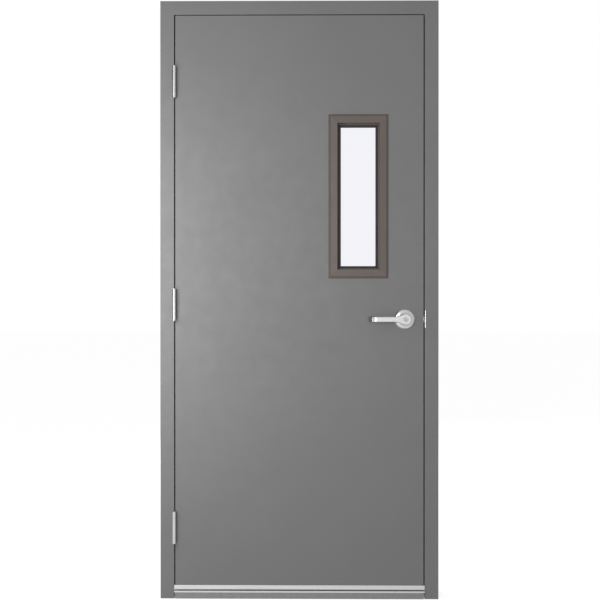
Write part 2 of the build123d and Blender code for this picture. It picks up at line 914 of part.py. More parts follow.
def make_lever(bore_radius, bore_depth):
    """A lever with its hub and neck, rounded along all of its long edges."""
    plan = extrude(lever_plan(), amount=lever_reach, dir=(0, 0, 1))
    side = extrude(Plane.XZ * lever_side(), amount=2 * lever_height, both=True)
    lever = plan & side
    tip_rim = lever.faces().sort_by(Axis.Z)[0].edges()
    crosswise = lever.edges().filter_by(Axis.Y)
    seams = lever.edges().filter_by(Axis.Z)
    seams = seams.filter_by(lambda edge: edge.center().X < lever_length / 2)
    lever = fillet(lever.edges() - tip_rim - crosswise - seams, lever_rounding)
    lever = fillet(lever.faces().sort_by(Axis.Z)[0].edges(), lever_end_rounding)
    upward = (Align.CENTER, Align.CENTER, Align.MIN)
    hub_low = rose_depth + hub_clearance
    stem = Cylinder(stem_radius, lever_reach - lever_rounding - hub_low, align=upward)
    neck = Cylinder(neck_radius, neck_bite + hub_low + neck_overlap, align=upward)
    lever += Pos(0, 0, hub_low) * stem
    lever += Pos(0, 0, -neck_bite) * neck
    bore = Cylinder(bore_radius, bore_depth, align=(Align.CENTER, Align.CENTER, Align.MAX))
    return lever - Pos(0, 0, lever_reach + 1) * bore


def make_outside_lever():
    lever = make_lever(cylinder_radius + thread_fit, cylinder_length + 1)
    tail_hole = Cylinder(tail_radius + plug_fit, 2 * (lever_reach + neck_bite) + 4)
    return outward_plane(True) * mirror(lever - tail_hole, about=Plane.YZ)


def make_key_cylinder():
    """The cylinder in the outside lever, bored for its plug."""
    low = lever_reach - cylinder_length
    profile = Polyline(
        (plug_radius + plug_fit, low),
        (cylinder_radius, low),
        (cylinder_radius, lever_reach),
        (cylinder_radius - 1.6, lever_reach + cylinder_proud),
        (plug_radius + plug_fit, lever_reach + cylinder_proud),
        close=True,
    )
    return outward_plane(True) * revolve(Plane.XZ * make_face(profile), axis=Axis.Z)


def make_key_plug():
    """The plug with its keyway and the tail that reaches back into the lock."""
    low = lever_reach - cylinder_length
    face = lever_reach + cylinder_proud - 0.5
    plug = Cylinder(plug_radius, face - low, align=(Align.CENTER, Align.CENTER, Align.MAX))
    plug = Pos(0, 0, face) * plug
    plug = chamfer(plug.edges().group_by(Axis.Z)[-1], 0.8)
    tail_length = low + neck_bite - 2
    tail = Cylinder(tail_radius, tail_length + 1, align=(Align.CENTER, Align.CENTER, Align.MAX))
    plug += Pos(0, 0, low + 1) * tail
    keyway = Pos(0, -keyway_drop, face - keyway_depth / 2) * Box(
        keyway_width, keyway_height, keyway_depth + 1
    )
    return outward_plane(True) * (plug - keyway)


def make_inside_lever():
    lever = make_lever(button_radius + 0.5, button_grip + 1)
    stem_hole = Cylinder(tail_radius + plug_fit, 2 * (lever_reach + neck_bite) + 4)
    return outward_plane(False) * (lever - stem_hole)


def make_inside_button():
    """The turn button in the inside lever: a disc, a finger grip and a stem into the lock."""
    disc_low = lever_reach - button_grip + 0.3
    disc = Cylinder(button_radius, 3.2, align=(Align.CENTER, Align.CENTER, Align.MIN))
    disc = fillet(disc.edges().group_by(Axis.Z)[-1], 1.0)
    grip = Box(3.4, 2 * button_radius - 2.5, button_depth, align=(Align.CENTER, Align.CENTER, Align.MIN))
    grip = fillet(grip.edges().filter_by(Axis.Z), 1.2)
    stem_length = disc_low + neck_bite - 2
    stem = Cylinder(tail_radius, stem_length + 1, align=(Align.CENTER, Align.CENTER, Align.MAX))
    button = Pos(0, 0, disc_low) * disc + Pos(0, 0, disc_low) * grip + Pos(0, 0, disc_low + 1) * stem
    return outward_plane(False) * button


# Vision lite
def lite_ring(section, width, height, y):
    """Carry a section round a rectangle of the lite, with mitred corners."""
    path = Pos(lite_x, y, lite_z) * (Plane.XZ * Rectangle(width, height)).wire()
    start = Plane(origin=path @ 0, x_dir=(-1, 0, 0), z_dir=path % 0)
    return sweep(start * section, path=path, transition=Transition.RIGHT)


def lite_screw_places():
    """Places of the screws that draw the two lite frames together."""
    x = lite_width / 2 + (lite_leg + lite_bore_border) / 2
    span = lite_height - 2 * lite_screw_margin
    step = span / (lite_screw_count - 1)
    rows = [-span / 2 + step * n for n in range(lite_screw_count)]
    return [(lite_x + side * x, lite_z + row) for side in (-1, 1) for row in rows]


def lite_screw(place, extra_radius, length):
    """One screw of the lite kit, or with extra radius the hole that it takes."""
    x, z = place
    return flat_head_screw(
        (x, leaf_back_y + lite_rise - lite_screw_sink, z),
        (0, -1, 0),
        small_screw_radius + extra_radius,
        small_head_radius + extra_radius,
        small_head_height,
        length,
    )


def make_lite_frame():
    """One half of the lite kit: a pressed channel with a glazing leg, a face and an outer bevel."""
    leg_depth = (leaf_thickness - glass_thickness) / 2 - tape_thickness - lite_gauge
    points = [
        (lite_leg - lite_leg_width, leg_depth),
        (lite_leg, leg_depth),
        (lite_leg, -lite_rise),
        (lite_border - lite_bevel, -lite_rise + lite_slope),
        (lite_border, -lite_lip),
        (lite_border, 0),
    ]
    section = folded_section(points, lite_gauge, lite_gauge + 0.5)
    return lite_ring(section, lite_width, lite_height, face_y)


def make_lite_frame_front():
    """The half on the pull side, with the welded sleeves that the screws draw up to."""
    frame = make_lite_frame()
    start_y = face_y - lite_rise + lite_gauge
    end_y = leaf_back_y + lite_rise - lite_slope - lite_gauge
    for place in lite_screw_places():
        x, z = place
        frame += rod((x, start_y, z), (0, 1, 0), lite_boss_radius, end_y - start_y)
        frame -= lite_screw(place, thread_fit, lite_screw_length + 2)
    return frame


def make_lite_frame_back():
    """The half on the push side, with countersunk holes for the screws."""
    middle = Plane(origin=(0, seam_y, 0), z_dir=(0, 1, 0))
    frame = mirror(make_lite_frame(), about=middle)
    for place in lite_screw_places():
        frame -= lite_screw(place, thread_fit, lite_screw_length)
    return frame


def make_lite_screws():
    return group([lite_screw(place, 0, lite_screw_length) for place in lite_screw_places()])


def make_glass():
    half_x = lite_width / 2 + glass_bite
    half_z = lite_height / 2 + glass_bite
    return block(
        (lite_x - half_x, lite_x + half_x),
        (seam_y - glass_thickness / 2, seam_y + glass_thickness / 2),
        (lite_z - half_z, lite_z + half_z),
    )


def make_tape(front):
    """The black glazing tape on the edge of the glass; it shows past the narrow glazing leg."""
    start = seam_y - glass_thickness / 2 - tape_thickness if front else seam_y + glass_thickness / 2
    section = Pos(glass_bite / 2, tape_thickness / 2) * Rectangle(glass_bite, tape_thickness)
    return lite_ring(section, lite_width, lite_height, start)


# Bottom sweep
def sweep_profile():
    """The extrusion's outline as (forward of the leaf, up from its lower edge)."""
    groove_top = sweep_height - sweep_plate_height
    slot_half = seal_thickness / 2 + seal_neck_clearance
    bead_half = seal_bead / 2 + seal_neck_clearance
    slot_y = (sweep_base + sweep_jaw_depth) / 2
    outline = Polyline(
        (0, 0),
        (slot_y - slot_half, 0),
        (slot_y - slot_half, sweep_lip),
        (slot_y - bead_half, sweep_lip),
        (slot_y - bead_half, sweep_lip + seal_bead),
        (slot_y + bead_half, sweep_lip + seal_bead),
        (slot_y + bead_half, sweep_lip),
        (slot_y + slot_half, sweep_lip),
        (slot_y + slot_half, 0),
        (sweep_jaw_depth, 0),
        (sweep_jaw_depth, sweep_jaw_height),
        (sweep_base, sweep_jaw_height + sweep_slope),
        (sweep_base, groove_top),
        (sweep_plate_depth, groove_top - sweep_slope),
        (sweep_plate_depth - sweep_slope, sweep_height - 2 * sweep_slope),
        (sweep_base, sweep_height),
        (0, sweep_height),
        close=True,
    )
    return make_face(outline), slot_y


def sweep_screw_places():
    span = leaf_right - leaf_left - 2 * sweep_screw_margin
    step = span / (sweep_screw_count - 1)
    return [leaf_left + sweep_screw_margin + step * n for n in range(sweep_screw_count)]


def sweep_screw_z():
    return sweep_rise + sweep_height - sweep_plate_height / 2


def make_sweep_retainer():
    outline, _ = sweep_profile()
    placed = Plane(origin=(0, face_y, sweep_rise), x_dir=(0, -1, 0), z_dir=(-1, 0, 0)) * outline
    length = leaf_right - leaf_left + 2 * sweep_overhang
    retainer = extrude(placed, amount=length / 2, both=True)
    retainer = Pos(leaf_centre_x, 0, 0) * retainer
    for x in sweep_screw_places():
        retainer -= flat_head_screw(
            (x, face_y - sweep_plate_depth + sweep_screw_sink, sweep_screw_z()),
            (0, 1, 0),
            small_screw_radius + thread_fit,
            small_head_radius + thread_fit,
            small_head_height,
            screw_length,
        )
    return retainer


def make_sweep_screws():
    """Self-drilling screws through the retainer; the front skin has a hole for each."""
    return group([
        flat_head_screw(
            (x, face_y - sweep_plate_depth + sweep_screw_sink, sweep_screw_z()),
            (0, 1, 0),
            small_screw_radius,
            small_head_radius,
            small_head_height,
            sweep_plate_depth + skin_gauge + channel_gauge + 1.0,
        )
        for x in sweep_screw_places()
    ])


def sweep_screw_holes():
    holes = [
        rod((x, face_y - 1, sweep_screw_z()), (0, 1, 0), small_screw_radius + thread_fit, 12)
        for x in sweep_screw_places()
    ]
    return group(holes)


def make_sweep_seal():
    """The vinyl blade: a bead held in the retainer's slot and a blade down to the floor."""
    _, slot_y = sweep_profile()
    half_bead = seal_bead / 2
    half_blade = seal_thickness / 2
    bead_low = sweep_rise + sweep_lip + seal_neck_clearance
    y = face_y - slot_y
    length = (leaf_left, leaf_right)
    bead = block(
        length,
        (y - half_bead, y + half_bead),
        (bead_low, bead_low + seal_bead - 2 * seal_neck_clearance),
    )
    blade = block(length, (y - half_blade, y + half_blade), (seal_floor_clearance, bead_low + 1))
    return bead + blade


def main():
    # Frame and what is fixed to it
    save("hinge_jamb", make_hinge_jamb())
    save("strike_jamb", make_strike_jamb())
    save("frame_head", make_frame_head())
    for name, z in hinge_heights.items():
        plate = joggled_plate(hinge_rabbet_x, -1, z, frame_gauge, frame_bend)
        save(f"frame_hinge_plate_{name}", plate)
        save(f"hinge_frame_leaf_{name}", make_hinge_leaf(z, -1, 0))
        save(f"hinge_pin_{name}", make_hinge_pin(z))
    save("hinge_frame_screws", make_hinge_screws(hinge_rabbet_x, -1))
    save("strike_plate", make_strike_plate())
    save("strike_backing_plate", make_strike_backing())
    save("strike_dust_box", make_dust_box())
    save("strike_screws", make_strike_screws())
    save("door_silencers", make_silencers())
    save("wall_anchors_left", make_wall_anchors(-1))
    save("wall_anchors_right", make_wall_anchors(1))
    save("floor_anchor_left", make_floor_anchor(-1))
    save("floor_anchor_right", make_floor_anchor(1))

    # Door leaf and what turns with it
    save("front_skin", make_skin(True) - sweep_screw_holes())
    save("back_skin", make_skin(False))
    save("top_channel", make_channel(leaf_top))
    save("bottom_channel", make_channel(core_bottom) - sweep_screw_holes())
    save("door_core", make_core())
    for name, z in hinge_heights.items():
        plate = joggled_plate(leaf_left, 1, z, skin_gauge, skin_bend)
        save(f"door_hinge_plate_{name}", plate)
        save(f"hinge_door_leaf_{name}", make_hinge_leaf(z, 1, 1))
    save("hinge_door_screws", make_hinge_screws(leaf_left, 1))
    save("lock_reinforcement", make_lock_box())
    save("latch_faceplate", make_faceplate())
    save("faceplate_screws", make_faceplate_screws())
    save("latch_case", make_latch_case())
    save("lock_chassis", make_chassis())
    save("rose_outside", make_rose(True))
    save("rose_inside", make_rose(False))
    save("mounting_plate_outside", make_mounting_plate(True))
    save("mounting_plate_inside", make_mounting_plate(False))
    save("lock_through_bolts", make_through_bolts())
    save("lite_frame_front", make_lite_frame_front())
    save("lite_frame_back", make_lite_frame_back())
    save("lite_screws", make_lite_screws())
    save("lite_glass", make_glass())
    save("glazing_tape_front", make_tape(True))
    save("glazing_tape_back", make_tape(False))
    save("sweep_retainer", make_sweep_retainer())
    save("sweep_seal", make_sweep_seal())
    save("sweep_screws", make_sweep_screws())

    # What moves on the door
    save("latchbolt", make_latchbolt())
    save("outside_lever", make_outside_lever())
    save("key_cylinder", make_key_cylinder())
    save("key_plug", make_key_plug())
    save("inside_lever", make_inside_lever())
    save("inside_turn_button", make_inside_button())


main()
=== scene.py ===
# %% [markdown]
# # A painted steel door with a vision lite
#
# The door comes from its CAD model, already closed in its frame and standing on the floor.
# Every CAD piece keeps its shape and its place here. This script gives each piece its
# finish, swaps plain screws for detailed ones, and sets up a camera, a floor and soft light.

# %% Load the CAD model
import json
import math

import bmesh
import bpy
from mathutils import Matrix, Vector


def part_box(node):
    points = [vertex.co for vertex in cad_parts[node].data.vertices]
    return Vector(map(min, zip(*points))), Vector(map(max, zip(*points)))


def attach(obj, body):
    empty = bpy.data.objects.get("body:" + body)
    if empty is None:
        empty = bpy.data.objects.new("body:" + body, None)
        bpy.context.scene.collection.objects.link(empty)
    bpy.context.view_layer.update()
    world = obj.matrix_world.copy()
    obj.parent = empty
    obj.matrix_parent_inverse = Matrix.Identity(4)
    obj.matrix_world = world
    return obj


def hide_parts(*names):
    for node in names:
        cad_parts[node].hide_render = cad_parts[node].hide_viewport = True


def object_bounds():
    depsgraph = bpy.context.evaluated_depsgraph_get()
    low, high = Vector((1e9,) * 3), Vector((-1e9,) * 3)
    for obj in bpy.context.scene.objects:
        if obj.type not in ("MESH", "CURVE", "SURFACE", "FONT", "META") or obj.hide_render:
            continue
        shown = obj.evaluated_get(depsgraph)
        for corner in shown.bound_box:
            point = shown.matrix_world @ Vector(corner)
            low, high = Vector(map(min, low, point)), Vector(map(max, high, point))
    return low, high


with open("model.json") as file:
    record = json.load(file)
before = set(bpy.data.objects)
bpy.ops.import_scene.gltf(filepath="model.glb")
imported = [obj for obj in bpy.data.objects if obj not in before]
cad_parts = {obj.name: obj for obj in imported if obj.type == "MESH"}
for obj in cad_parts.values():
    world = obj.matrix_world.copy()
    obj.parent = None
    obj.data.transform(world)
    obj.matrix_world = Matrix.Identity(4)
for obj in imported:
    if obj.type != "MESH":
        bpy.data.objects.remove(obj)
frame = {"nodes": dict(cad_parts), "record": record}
nodes = frame["nodes"]
cad_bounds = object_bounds()
low, high = cad_bounds
middle_x = (low.x + high.x) / 2
middle_z = (low.z + high.z) / 2
frame_face_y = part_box("frame_head")[0].y
print(f"{len(nodes)} CAD pieces, {high.x - low.x:.3f} m wide and {high.z - low.z:.3f} m high")

# %% [markdown]
# ## The camera
#
# The door is seen straight on, with its feet and its head almost touching the picture's
# edges. A camera 4 m away with a 66 mm lens gives that flat, calm view. It stands 45 mm to
# the right of the middle, which makes the right side of the door a hair taller.

# %% Camera
camera_distance = 4.0
camera_side = 0.045
camera_rise = 0.011
aim_side = 0.0026
aim_drop = 0.0003
aim = Vector((aim_side, frame_face_y, middle_z - aim_drop))
picture_width = 2.1907
sensor = 36.0

camera_data = bpy.data.cameras.new("camera")
camera_data.sensor_width = sensor
camera_data.lens = sensor * camera_distance / picture_width
camera = bpy.data.objects.new("camera", camera_data)
bpy.context.scene.collection.objects.link(camera)
camera.location = (middle_x + camera_side, frame_face_y - camera_distance, middle_z + camera_rise)
camera.rotation_euler = (aim - camera.location).to_track_quat("-Z", "Y").to_euler()
bpy.context.scene.camera = camera
bpy.context.scene.view_settings.view_transform = "Standard"
print(f"camera lens {camera_data.lens:.1f} mm at {camera_distance} m")

# %% [markdown]
# ## The floor and the white surroundings
#
# A catalogue picture has nothing behind the object. The floor is a plain pale plane. What
# the camera sees of it is lifted towards white, while the real light on it is still added,
# so the shadow at the foot of the frame stays. The world is white to the camera, to
# mirror-like metal and through glass, and a softer grey as a light.

# %% A helper for small node trees
def add_node(tree, kind, **inputs):
    """Add a shader node and set the inputs that are named."""
    node = tree.nodes.new(kind)
    for name, value in inputs.items():
        node.inputs[name.replace("_", " ")].default_value = value
    return node


def grey(tone):
    """A neutral colour of one tone."""
    return (tone, tone, tone)


def seen_directly(tree):
    """1 for what the camera sees, straight on, in a reflection or through glass."""
    path = add_node(tree, "ShaderNodeLightPath")
    first = add_node(tree, "ShaderNodeMath")
    first.operation = "MAXIMUM"
    tree.links.new(path.outputs["Is Camera Ray"], first.inputs[0])
    tree.links.new(path.outputs["Is Glossy Ray"], first.inputs[1])
    second = add_node(tree, "ShaderNodeMath")
    second.operation = "MAXIMUM"
    tree.links.new(first.outputs["Value"], second.inputs[0])
    tree.links.new(path.outputs["Is Transmission Ray"], second.inputs[1])
    return second.outputs["Value"]


# %% Floor and world
ambient_strength = 0.3
floor_lift = 0.8
floor_tone = 0.62
floor_size = 60.0
white_light = (1, 1, 1, 1)

bpy.ops.object.select_all(action="DESELECT")
bpy.ops.mesh.primitive_plane_add(size=floor_size, location=(0, 0, 0))
floor = bpy.context.active_object
floor.name = "floor"

floor_material = bpy.data.materials.new("pale_floor")
floor_material.use_nodes = True
tree = floor_material.node_tree
tree.nodes.clear()
matt = add_node(tree, "ShaderNodeBsdfDiffuse", Color=(*grey(floor_tone), 1))
lift = add_node(tree, "ShaderNodeEmission", Color=white_light, Strength=floor_lift)
none = add_node(tree, "ShaderNodeEmission", Color=white_light, Strength=0.0)
chosen = add_node(tree, "ShaderNodeMixShader")
both = add_node(tree, "ShaderNodeAddShader")
output = add_node(tree, "ShaderNodeOutputMaterial")
tree.links.new(seen_directly(tree), chosen.inputs[0])
tree.links.new(none.outputs[0], chosen.inputs[1])
tree.links.new(lift.outputs[0], chosen.inputs[2])
tree.links.new(matt.outputs[0], both.inputs[0])
tree.links.new(chosen.outputs[0], both.inputs[1])
tree.links.new(both.outputs[0], output.inputs["Surface"])
floor.data.materials.append(floor_material)

world = bpy.data.worlds.new("white_room")
bpy.context.scene.world = world
world.use_nodes = True
tree = world.node_tree
tree.nodes.clear()
soft = add_node(tree, "ShaderNodeBackground", Color=white_light, Strength=ambient_strength)
white = add_node(tree, "ShaderNodeBackground", Color=white_light, Strength=1.0)
room = add_node(tree, "ShaderNodeMixShader")
output = add_node(tree, "ShaderNodeOutputWorld")
tree.links.new(seen_directly(tree), room.inputs[0])
tree.links.new(soft.outputs[0], room.inputs[1])
tree.links.new(white.outputs[0], room.inputs[2])
tree.links.new(room.outputs[0], output.inputs["Surface"])
print("floor and world are in")

# %% [markdown]
# ## The light
#
# The paint is brightest at the left, a little above mid height, and falls off to the right,
# to the head and to the foot. A tall narrow lamp close to the leaf at the left gives that
# fall-off. A small lamp far in front, also from the left, lights the whole door evenly and
# throws the crisp narrow shadow beside each hinge knuckle. One behind lights the back. The
# lamps are hidden from the camera and through the glass, which would show them as patches.

# %% Lamps
def soft_lamp(name, place, target, width, height, power):
    """A rectangular area lamp that points at a target."""
    data = bpy.data.lights.new(name, "AREA")
    data.shape = "RECTANGLE"
    data.size = width
    data.size_y = height
    data.energy = power
    lamp = bpy.data.objects.new(name, data)
    bpy.context.scene.collection.objects.link(lamp)
    lamp.location = place
    direction = Vector(target) - Vector(place)
    lamp.rotation_euler = direction.to_track_quat("-Z", "Y").to_euler()
    lamp.visible_camera = False
    lamp.visible_transmission = False


key_distance = 0.744
key_place = Vector((-0.795, frame_face_y - key_distance, 1.257))
key_target = key_place + Vector((0, 1, 0))
soft_lamp("key_lamp", key_place, key_target, width=0.36, height=1.24, power=6.25)
soft_lamp("front_lamp", (-1.45, -6.5, 1.45), (0, 0, 1.0), width=0.6, height=0.6, power=144)
soft_lamp("back_lamp", (-1.6, 3.8, 2.4), (0, 0, 1.1), width=2.2, height=2.2, power=60)

# %% [markdown]
# ## A dark card beside the door
#
# Polished metal in an all-white room shows no shape. Photographers stand a dark card beside
# it, which the curved metal mirrors as a dark edge. The card here stands at the left, and
# only mirror rays see it, so it takes no light from the door and is in no picture itself.

# %% Dark card
card_place = (-2.6, -3.0, 2.5)
card_width = 7.0
card_height = 5.0
felt_tone = 0.03

bpy.ops.object.select_all(action="DESELECT")
bpy.ops.mesh.primitive_plane_add(size=1, location=card_place, rotation=(0, math.pi / 2, 0))
card = bpy.context.active_object
card.name = "dark_card"
card.scale = (card_height, card_width, 1)
card_material = bpy.data.materials.new("dark_felt")
card_material.use_nodes = True
felt = card_material.node_tree.nodes["Principled BSDF"]
felt.inputs["Base Color"].default_value = (*grey(felt_tone), 1)
felt.inputs["Roughness"].default_value = 1.0
card.data.materials.append(card_material)
card.visible_camera = False
card.visible_diffuse = False
card.visible_transmission = False
card.visible_shadow = False
print("dark card", card_width, "m by", card_height, "m")

# %% [markdown]
# ## How a finish is made
#
# No surface has one flat colour. Each finish below starts from the standard shader and
# reads one or two noise patterns in the object's own coordinates, in metres, so a grain of
# 2 mm is really 2 mm wide. One pattern shifts the colour a little, one the roughness, and
# one makes small bumps.

# %% Helpers for finishes
def new_finish(name, roughness, metallic=0.0):
    """A material with the standard shader, ready to be given patterns."""
    material = bpy.data.materials.new(name)
    material.use_nodes = True
    shader = material.node_tree.nodes["Principled BSDF"]
    shader.inputs["Roughness"].default_value = roughness
    shader.inputs["Metallic"].default_value = metallic
    return material, shader


def grain(material, size, stretch=(1, 1, 1), detail=3.0):
    """A cloudy pattern: size is its width in metres, stretch lengthens it along an axis."""
    tree = material.node_tree
    place = add_node(tree, "ShaderNodeTexCoord")
    scale = [1 / (size * axis) for axis in stretch]
    mapping = add_node(tree, "ShaderNodeMapping", Scale=scale)
    pattern = add_node(tree, "ShaderNodeTexNoise", Scale=1.0, Detail=detail)
    tree.links.new(place.outputs["Object"], mapping.inputs["Vector"])
    tree.links.new(mapping.outputs["Vector"], pattern.inputs["Vector"])
    return pattern.outputs["Fac"]


def cells(material, size):
    """A pattern of irregular cells, each with its own tone."""
    tree = material.node_tree
    place = add_node(tree, "ShaderNodeTexCoord")
    pattern = add_node(tree, "ShaderNodeTexVoronoi", Scale=1 / size)
    tree.links.new(place.outputs["Object"], pattern.inputs["Vector"])
    return pattern


def span(material, source, low_value, high_value, start=0.3, end=0.7):
    """Turn a pattern into numbers between two values."""
    tree = material.node_tree
    ramp = add_node(tree, "ShaderNodeMapRange")
    ramp.inputs["From Min"].default_value = start
    ramp.inputs["From Max"].default_value = end
    ramp.inputs["To Min"].default_value = low_value
    ramp.inputs["To Max"].default_value = high_value
    tree.links.new(source, ramp.inputs["Value"])
    return ramp.outputs["Result"]


def tint(material, shader, source, dark, light):
    """Let a pattern run the colour from dark to light."""
    tree = material.node_tree
    mix = add_node(tree, "ShaderNodeMix")
    mix.data_type = "RGBA"
    tree.links.new(span(material, source, 0.0, 1.0), mix.inputs["Factor"])
    colours = {socket.name: socket for socket in mix.inputs if socket.type == "RGBA"}
    colours["A"].default_value = (*dark, 1)
    colours["B"].default_value = (*light, 1)
    result = [socket for socket in mix.outputs if socket.type == "RGBA"][0]
    tree.links.new(result, shader.inputs["Base Color"])


def relief(material, shader, source, depth):
    """Let a pattern raise small bumps of a depth in metres."""
    tree = material.node_tree
    bump = add_node(tree, "ShaderNodeBump", Strength=1.0, Distance=depth)
    tree.links.new(source, bump.inputs["Height"])
    before = shader.inputs["Normal"].links
    if before:
        tree.links.new(before[0].from_socket, bump.inputs["Normal"])
    tree.links.new(bump.outputs["Normal"], shader.inputs["Normal"])


def roughen(material, shader, source, smooth, rough):
    """Let a pattern run the roughness between two values."""
    material.node_tree.links.new(
        span(material, source, smooth, rough), shader.inputs["Roughness"]
    )


def paint_shade_in_recesses(material, shader, reach, darkest, shut=0.45, clear=0.95):
    """Paint shade into the colour of narrow slots and grooves, darker where the piece closes in.
    """
    tree = material.node_tree
    colour = shader.inputs["Base Color"].links[0].from_socket
    # Painted shade: ambient occlusion within the piece darkens the base colour in its recesses.
    openness = add_node(tree, "ShaderNodeAmbientOcclusion", Distance=reach)
    openness.only_local = True
    openness.samples = 12
    shaded = add_node(tree, "ShaderNodeVectorMath")
    shaded.operation = "SCALE"
    tree.links.new(colour, shaded.inputs["Vector"])
    shade = span(material, openness.outputs["AO"], darkest, 1.0, shut, clear)
    tree.links.new(shade, shaded.inputs["Scale"])
    tree.links.new(shaded.outputs["Vector"], shader.inputs["Base Color"])


print("helpers ready")

# %% [markdown]
# ## Paint
#
# The leaf and the frame are sprayed with semi-gloss enamel. Close up it has the fine skin
# called orange peel, about 3 mm across and some 20 microns deep, and very slow clouds of
# tone. The lite kit has a satin bronze paint with a finer skin.

# %% Paints
def paint(name, dark, light, roughness, peel_size, peel_depth):
    """Sprayed enamel: slow clouds of tone, patches of gloss and a fine bumpy skin."""
    cloud_size = 0.35
    patch_size = 0.05
    material, shader = new_finish(name, roughness)
    tint(material, shader, grain(material, cloud_size), dark, light)
    roughen(material, shader, grain(material, patch_size), roughness - 0.03, roughness + 0.04)
    relief(material, shader, grain(material, peel_size, detail=1.0), peel_depth)
    return material


enamel_peel = {"peel_size": 0.003, "peel_depth": 0.00002}
bronze_peel = {"peel_size": 0.0016, "peel_depth": 0.000015}
bronze_dark = (0.121, 0.096, 0.083)
bronze_light = (0.139, 0.110, 0.096)
frame_paint = paint("frame_enamel", grey(0.190), grey(0.205), 0.50, **enamel_peel)
door_paint = paint("door_enamel", grey(0.192), grey(0.205), 0.50, **enamel_peel)
bronze_paint = paint("bronze_enamel", bronze_dark, bronze_light, 0.50, **bronze_peel)
print("paints:", frame_paint.name, door_paint.name, bronze_paint.name)

# %% [markdown]
# ## Metals
#
# Satin metal is brushed: long thin scratches that all run one way. They are a noise pattern
# stretched forty times or more along the brushing. Plated screws have none, so their pattern
# isn't stretched. Slots and grooves have painted shade, a darker colour. Galvanised sheet
# has a spangle, flakes of zinc of slightly different greys, which irregular cells give.

# %% Brushed metals
def brushed(name, dark, light, roughness, stretch):
    """Metal with fine scratches along one axis and painted shade in its recesses."""
    line_width = 0.00035
    line_depth = 0.000004
    tone_width = 0.004
    material, shader = new_finish(name, roughness, metallic=1.0)
    lines = grain(material, line_width, stretch, detail=2.0)
    tint(material, shader, grain(material, tone_width, stretch), dark, light)
    roughen(material, shader, lines, roughness - 0.05, roughness + 0.08)
    relief(material, shader, lines, line_depth)
    # Painted shade: slots and grooves, such as the keyway and the sweep's groove, get a darker
    # colour.
    paint_shade_in_recesses(material, shader, reach=0.010, darkest=0.05)
    return material


satin_chrome = brushed(
    "satin_chrome_plate", (0.45, 0.45, 0.447), (0.52, 0.52, 0.517), 0.28, stretch=(40, 1, 1)
)
hinge_steel = brushed(
    "satin_hinge_steel", (0.49, 0.49, 0.487), (0.56, 0.56, 0.557), 0.40, stretch=(1, 1, 40)
)
screw_steel = brushed(
    "plated_screw_steel", grey(0.58), grey(0.66), 0.30, stretch=(1, 1, 1)
)
mill_aluminium = brushed(
    "mill_aluminium_bar", (0.45, 0.455, 0.455), (0.51, 0.515, 0.515), 0.34, stretch=(60, 1, 1)
)
print("metals:", satin_chrome.name, hinge_steel.name, screw_steel.name, mill_aluminium.name)

# %% Galvanised sheet
spangle_size = 0.012
zinc_tooth = 0.002
zinc_tooth_depth = 0.00001
bare_steel, shader = new_finish("galvanised_sheet", 0.42, metallic=1.0)
spangle = cells(bare_steel, spangle_size).outputs["Color"]
tint(bare_steel, shader, spangle, (0.46, 0.48, 0.49), (0.62, 0.64, 0.65))
roughen(bare_steel, shader, spangle, 0.36, 0.50)
relief(bare_steel, shader, grain(bare_steel, zinc_tooth), zinc_tooth_depth)
print("galvanised:", bare_steel.name)

# %% [markdown]
# ## Rubber, vinyl, paper and glass
#
# The soft trims are matt with a fine tooth. The core is kraft paper honeycomb, seen as cells.
# The glass is clear with a trace of blue grey, and lets the white behind it through.

# %% Soft trims and core
def matt_trim(name, dark, light, roughness, tooth, depth):
    """A soft matt trim: small clouds of tone and a tooth of a width and depth in metres."""
    cloud_size = 0.01
    patch_size = 0.004
    material, shader = new_finish(name, roughness)
    tint(material, shader, grain(material, cloud_size), dark, light)
    roughen(material, shader, grain(material, patch_size), roughness - 0.06, roughness + 0.06)
    relief(material, shader, grain(material, tooth), depth)
    return material


tape_dark = (0.036, 0.031, 0.034)
tape_light = (0.050, 0.044, 0.047)
black_tape = matt_trim("foam_glazing_tape", tape_dark, tape_light, 0.8, 0.0008, 0.00008)
grey_vinyl = matt_trim("grey_vinyl_blade", grey(0.27), grey(0.32), 0.6, 0.0012, 0.00003)
grey_rubber = matt_trim("grey_rubber_bumper", grey(0.14), grey(0.18), 0.7, 0.0009, 0.00003)

comb_size = 0.02
comb_depth = 0.002
honeycomb, shader = new_finish("kraft_honeycomb", 0.85)
comb = cells(honeycomb, comb_size).outputs["Distance"]
tint(honeycomb, shader, comb, (0.20, 0.13, 0.07), (0.42, 0.30, 0.18))
relief(honeycomb, shader, comb, comb_depth)
print("trims:", black_tape.name, grey_vinyl.name, grey_rubber.name, honeycomb.name)

# %% Glass
glass_dark = (0.880, 0.880, 0.930)
glass_light = (0.895, 0.895, 0.940)
tint_cloud = 0.25
polish_cloud = 0.12
clear_glass, shader = new_finish("clear_float_glass", 0.0)
shader.inputs["Transmission Weight"].default_value = 1.0
shader.inputs["IOR"].default_value = 1.45
tint(clear_glass, shader, grain(clear_glass, tint_cloud), glass_dark, glass_light)
roughen(clear_glass, shader, grain(clear_glass, polish_cloud), 0.0, 0.01)
print("glass:", clear_glass.name)

# %% [markdown]
# ## Dress the CAD pieces
#
# The record says which finish each CAD piece has. The loop below gives each piece the
# material that belongs to its slot.

# %% Assign the finishes
finish_of = {
    "frame_paint": frame_paint,
    "door_paint": door_paint,
    "bare_steel": bare_steel,
    "hinge_steel": hinge_steel,
    "satin_chrome": satin_chrome,
    "screw_steel": screw_steel,
    "bronze_paint": bronze_paint,
    "clear_glass": clear_glass,
    "black_tape": black_tape,
    "honeycomb": honeycomb,
    "mill_aluminium": mill_aluminium,
    "grey_vinyl": grey_vinyl,
    "grey_rubber": grey_rubber,
}
slot_of = {row["node"]: row["material_slot"] for row in frame["record"]["subparts"]}
for name, piece in nodes.items():
    piece.data.materials.clear()
    piece.data.materials.append(finish_of[slot_of[name]])
print(f"{len(slot_of)} pieces dressed")

